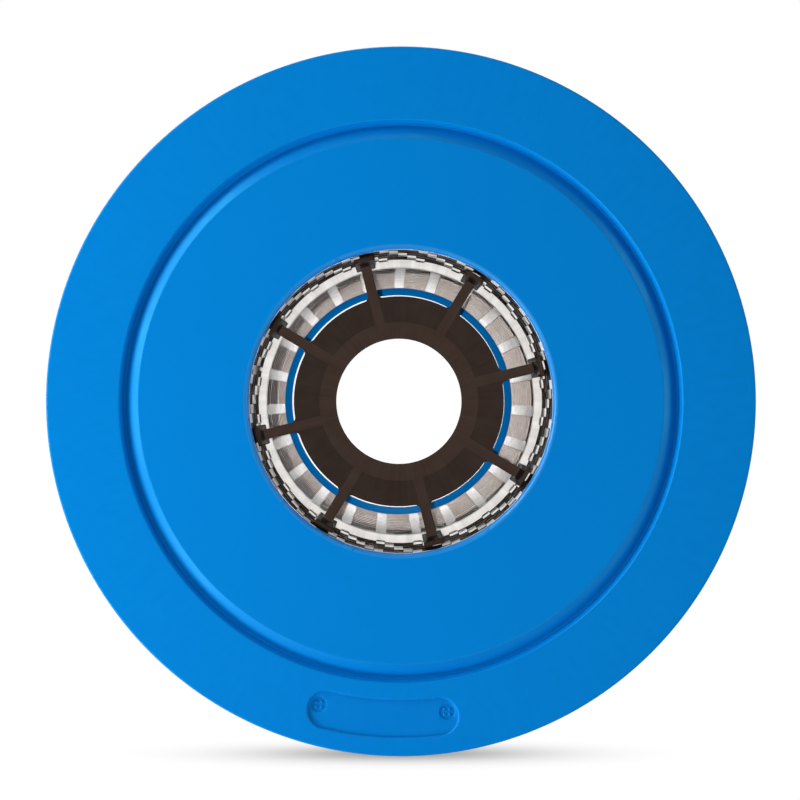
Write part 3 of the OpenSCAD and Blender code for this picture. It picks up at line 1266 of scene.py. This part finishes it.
        # The raised hub ring takes the second finish, a lighter copy of the brown: painted light on the ring.
        for face in bm.faces:
            radius, _ = self.layout.polar(face.calc_center_median())
            face.material_index = int(radius < self.ring_r + self.hub_margin)
        for spoke in range(self.spokes):
            self.leg(bm, spoke)
        bmesh.ops.translate(bm, verts=bm.verts, vec=(self.play * MM, 0.0, 0.0))
        return bm

    def dress(self, finishes: list[MouldedPlastic]) -> bpy.types.Object:
        """Builds the spider and gives it its finishes: the second one, a lighter copy of the brown with painted
        light, goes on the hub ring.
        """
        materials = [f.material(self.layout) for f in finishes]
        return settle(self.build(), "spider_moulded", materials, ["spider"])


@dataclass
class StopRing:
    """White ring that the sleeve and the spider's legs stand on.

    Sizes are in millimetres.
    """

    layout: Layout
    node: str = "stop_ring"
    inner_r: float = 36.3
    outer_r: float = 43.0
    edge: float = 0.5
    steps: int = 160

    def build(self) -> Mesh:
        """Spins the ring's section and rounds its inner edges.

        Returns:
            The ring's mesh.
        """
        low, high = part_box(self.node)
        bm = bmesh.new()
        corners = [(self.inner_r, low[1]), (self.outer_r, low[1]), (self.outer_r, high[1]), (self.inner_r, high[1])]
        section = wire(bm, [self.layout.at(r, 0.0, y) for r, y in corners], closed=True)
        revolve(bm, section, self.layout, self.steps)
        middle = (self.inner_r + self.outer_r) / 2
        inner = [e for e in creases(bm.edges, SHARP) if self.layout.polar(e.verts[0].co)[0] < middle]
        round_over(bm, inner, self.edge, 4)
        return bm

    def dress(self, finish: MouldedPlastic) -> bpy.types.Object:
        """Builds the ring and gives it its finish."""
        materials = [finish.material(self.layout)]
        return settle(self.build(), f"{self.node}_moulded", materials, [self.node])


@dataclass
class CoreLattice:
    """Moulded tube of bars and rings: one section of the core behind the stop ring.

    Sizes are in millimetres.
    """

    layout: Layout
    node: str
    inner_r: float = 40.6
    outer_r: float = 43.0
    bars: int = 23
    bar_w: float = 3.4
    first_bar: float = 11.4
    rows: int = 5
    ring_h: float = 5.0
    edge: float = 0.35
    crease: float = 50.0
    bar_steps: int = 2
    gap_steps: int = 4

    def turn(self, bm: Mesh, edges: list[Edge], angle: float, steps: int) -> tuple[list[Edge], list[Face]]:
        """Spins a line of edges on round the axis.

        Args:
            bm: The mesh to draw in.
            edges: The line to spin.
            angle: How far it turns, in degrees.
            steps: How many faces each edge leaves behind.

        Returns:
            The line where it stops, and the faces behind it.
        """
        before = set(bm.faces)
        verts = list({v: None for e in edges for v in e.verts})
        last = spin(bm, verts + edges, self.layout, angle, steps)
        return pick(last, Edge), [f for f in bm.faces if f not in before]

    def build(self) -> Mesh:
        """Spins the tube bar by bar, leaves its windows open and gives it its wall.

        Returns:
            The section's mesh.
        """
        low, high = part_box(self.node)
        ring = self.ring_h * MM
        row_h = (high[1] - low[1] - ring) / self.rows
        cuts = [low[1] + row * row_h + part for row in range(self.rows + 1) for part in (0.0, ring)]
        bar = math.degrees(self.bar_w / self.inner_r)
        bm = bmesh.new()
        edges = wire(bm, [self.layout.at(self.inner_r, self.first_bar - bar / 2, y) for y in cuts])
        between = []
        for _ in range(self.bars):
            edges, _ = self.turn(bm, edges, bar, self.bar_steps)
            edges, faces = self.turn(bm, edges, 360.0 / self.bars - bar, self.gap_steps)
            between += faces
        windows = [f for f in between if (f.calc_center_median().y - low[1]) % row_h > ring]
        bmesh.ops.delete(bm, geom=windows, context="FACES")
        bmesh.ops.remove_doubles(bm, verts=bm.verts, dist=SAME)
        bmesh.ops.recalc_face_normals(bm, faces=bm.faces)
        bmesh.ops.solidify(bm, geom=list(bm.faces), thickness=(self.inner_r - self.outer_r) * MM)
        bmesh.ops.recalc_face_normals(bm, faces=bm.faces)
        round_over(bm, creases(bm.edges, self.crease), self.edge, 2)
        return bm

    def dress(self, material: bpy.types.Material) -> bpy.types.Object:
        """Builds the section and gives it its finish."""
        return settle(self.build(), f"{self.node}_lattice", [material], [self.node])


@dataclass
class PackedPieces:
    """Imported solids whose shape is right, which only get a better finish."""

    layout: Layout
    nodes: list[str]

    def dress(self, finish: MouldedPlastic) -> None:
        """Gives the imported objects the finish.

        Args:
            finish: The finish that they get.
        """
        material = finish.material(self.layout)
        for node in self.nodes:
            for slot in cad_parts[node].material_slots:
                slot.material = material
            LOG.info("%s: packed solid, %s", node, finish.name)


@dataclass
class Studio:
    """White ground, soft lamps and the camera in front of the face.

    Lengths are in metres.
    """

    layout: Layout
    distance: float = 1.622
    aside: float = -0.0022
    above: float = 0.0001
    focal_px: float = 6479.0
    frame_px: float = 800.0
    face_px: tuple[float, float] = (401.0, 401.35)
    ambient: float = 0.08
    ground_half: float = 30.0
    snoot_blend: float = 0.05
    snoot_size: float = 0.001
    sensor_mm: float = 36.0
    view_end: float = 100.0

    def ground(self) -> None:
        """Lays the ground under the cartridge."""
        bm = bmesh.new()
        bmesh.ops.create_grid(bm, x_segments=1, y_segments=1, size=self.ground_half)
        mesh = bpy.data.meshes.new("ground")
        bm.to_mesh(mesh)
        bm.free()
        mesh.materials.append(PaleGround("pale_ground", self.layout).material())
        obj = bpy.data.objects.new("ground", mesh)
        bpy.context.scene.collection.objects.link(obj)

    def world(self) -> None:
        """Makes the surroundings white to the eye and softly bright to the object."""
        world = bpy.data.worlds.new("surroundings")
        bpy.context.scene.world = world
        g = Graph(world, "OutputWorld")
        soft = g.add("Background", {"Color": WHITE, "Strength": self.ambient})
        white = g.add("Background", {"Color": WHITE, "Strength": 1.0})
        g.finish(g.add("MixShader", {0: g.to_the_eye(), 1: soft.outputs[0], 2: white.outputs[0]}))

    def aim(self, name: str, data: bpy.types.ID, place: Place, target: Place) -> bpy.types.Object:
        """Stands a lamp or a camera somewhere, so that it looks at a point.

        Args:
            name: Name of the object.
            data: The lamp or camera.
            place: Where it stands.
            target: The point that it looks at.

        Returns:
            The new object.
        """
        obj = bpy.data.objects.new(name, data)
        obj.location = place
        obj.rotation_euler = (Vector(target) - Vector(place)).to_track_quat("-Z", "Y").to_euler()
        bpy.context.scene.collection.objects.link(obj)
        return obj

    def lamp(self, name: str, place: Place, target: Place, size: float, power: float) -> None:
        """Hangs one square soft lamp.

        Args:
            name: Name of the lamp.
            place: Where it hangs.
            target: The point that it looks at.
            size: Side of the lamp.
            power: Its power in watts.
        """
        data = bpy.data.lights.new(name, "AREA")
        data.shape = "SQUARE"
        data.size = size
        data.energy = power
        self.aim(name, data, place, target)

    def snoot(self, name: str, place: Place, target: Place, cone: float, power: float) -> None:
        """Hangs one narrow lamp that lights only what lies in its cone.

        Args:
            name: Name of the lamp.
            place: Where it hangs.
            target: The point that it looks at.
            cone: The cone's whole angle in degrees.
            power: Its power in watts.
        """
        data = bpy.data.lights.new(name, "SPOT")
        data.spot_size = math.radians(cone)
        data.spot_blend = self.snoot_blend
        data.shadow_soft_size = self.snoot_size
        data.energy = power
        self.aim(name, data, place, target)

    def beside_face(self, name: str, angle: float, rise: float, reach: float, size: float, power: float) -> None:
        """Hangs one soft lamp beside the front face.

        Args:
            name: Name of the lamp.
            angle: Its angle round the axis in degrees, counter-clockwise from the right.
            rise: How far it stands out of the face's plane, in degrees.
            reach: Its distance from the middle of the face.
            size: Side of the lamp.
            power: Its power in watts.
        """
        tilt = math.radians(rise)
        flat = reach * math.cos(tilt) / MM
        place = self.layout.at(flat, angle, self.layout.front_y - reach * math.sin(tilt))
        self.lamp(name, place, self.layout.centre, size, power)

    def lamps(self) -> None:
        """Lights the face from its sides, the pleats from above and the bore from both ends."""
        axis_z = self.layout.axis_z
        rear = (0.0, self.layout.rear_y, axis_z)
        for angle in (138.0, 164.0, 190.0, 218.0):
            self.beside_face(f"left_{angle:.0f}", angle, rise=20.0, reach=0.6, size=0.2, power=1.24)
        for angle in (-30.0, 0.0, 30.0):
            self.beside_face(f"right_{angle:.0f}", angle, rise=18.0, reach=1.0, size=0.3, power=1.04)
        self.beside_face("top", 90.0, rise=8.0, reach=0.7, size=0.2, power=0.35)
        self.beside_face("low_left", 240.0, rise=30.0, reach=0.7, size=0.2, power=0.76)
        self.beside_face("low_right", 300.0, rise=35.0, reach=0.7, size=0.2, power=0.41)
        self.lamp("top_pleats", (0.0, 0.35, 2.2), (0.0, 0.1, 0.0), size=1.0, power=15.0)
        self.lamp("core_back", (0.0, 0.6, axis_z), rear, size=0.16, power=0.66)
        self.snoot("bore_snoot", (-0.01, -2.55, axis_z), self.layout.centre, cone=1.985, power=185.0)

    def camera(self) -> None:
        """Stands the camera in front of the face, where the photograph was taken from."""
        data = bpy.data.cameras.new("front_view")
        data.sensor_width = self.sensor_mm
        data.lens = self.focal_px / self.frame_px * data.sensor_width
        half = self.frame_px / 2
        data.shift_x = (half - self.face_px[0]) / self.frame_px
        data.shift_y = (self.face_px[1] - half) / self.frame_px
        data.clip_end = self.view_end
        place = self.layout.centre + Vector((self.aside, -self.distance, self.above))
        bpy.context.scene.camera = self.aim("front_view", data, place, self.layout.centre)

    def set_up(self) -> None:
        """Sets the whole studio up."""
        self.camera()
        self.ground()
        self.world()
        self.lamps()
        bpy.context.scene.view_settings.view_transform = "Standard"


def main() -> None:
    """Builds the cartridge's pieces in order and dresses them."""
    logging.basicConfig(level=logging.INFO, format="%(name)s: %(message)s")
    layout = Layout.from_frame()
    base = (0.0, 0.505, 0.84)
    blue = CastUrethane("cast_urethane_blue", base)
    edge_blue = CastUrethane("cast_urethane_edge", base, 0.28, gloss=0.5, tint=(0.15, 0.95, 1.0))
    lip_blue = CastUrethane("cast_urethane_lip", base, 0.3, gloss=0.8, tint=(0.45, 0.95, 1.0))
    # Plate finish: rougher blue, slightly darker as partly painted shade of the sunk recess.
    plate_skin_and_shade = CastUrethane("cast_urethane_plate_and_shade", (0.0, 0.49, 0.826), roughness=0.5)
    white = MouldedPlastic("core_white", (0.93, 0.915, 0.9), 0.5)
    # A warmer, darker copy of the core's white for the sections deep in the bore: painted shade.
    cream_painted_shade = MouldedPlastic("core_cream_painted_shade", (0.93, 0.865, 0.825), 0.55)
    brown = MouldedPlastic("dark_brown", (0.19, 0.142, 0.116), 0.62, gloss=0.05)
    # Lighter copy of the same brown: painted light on the raised hub ring.
    lit_hub_brown = MouldedPlastic("dark_brown_hub_painted_light", (0.229, 0.171, 0.142), 0.6, gloss=0.05)
    # The third colour is the painted shade at the roots of the folds.
    fabric = SpunbondFabric("spunbond_white", (0.94, 0.9, 0.85), (0.85, 0.79, 0.72), (0.74, 0.64, 0.56))
    # The second colour is the painted shade between the yarns.
    weave = WovenStrap("woven_white", (0.93, 0.91, 0.88), (0.74, 0.71, 0.67))

    FrontCap(layout, End.FRONT, "front_end_cap").dress([blue, edge_blue, lip_blue, plate_skin_and_shade])
    EndCap(layout, End.REAR, "rear_end_cap").dress([blue, edge_blue, lip_blue])
    PleatedMedia(layout).dress(fabric)
    for node in ("band_1", "band_2", "band_3"):
        Strap(layout, node).dress(weave)
    Spider(layout).dress([brown, lit_hub_brown])
    PackedPieces(layout, ["core_section_1", "seam_clip"]).dress(white)
    StopRing(layout).dress(white)
    # The core sections behind the stop ring take the painted shade of the cream.
    shaded_cream_material = cream_painted_shade.material(layout)
    for number in range(2, 6):
        CoreLattice(layout, f"core_section_{number}").dress(shaded_cream_material)
    PackedPieces(layout, ["sleeve"]).dress(brown)

    Studio(layout).set_up()


if __name__ == "__main__":
    main()
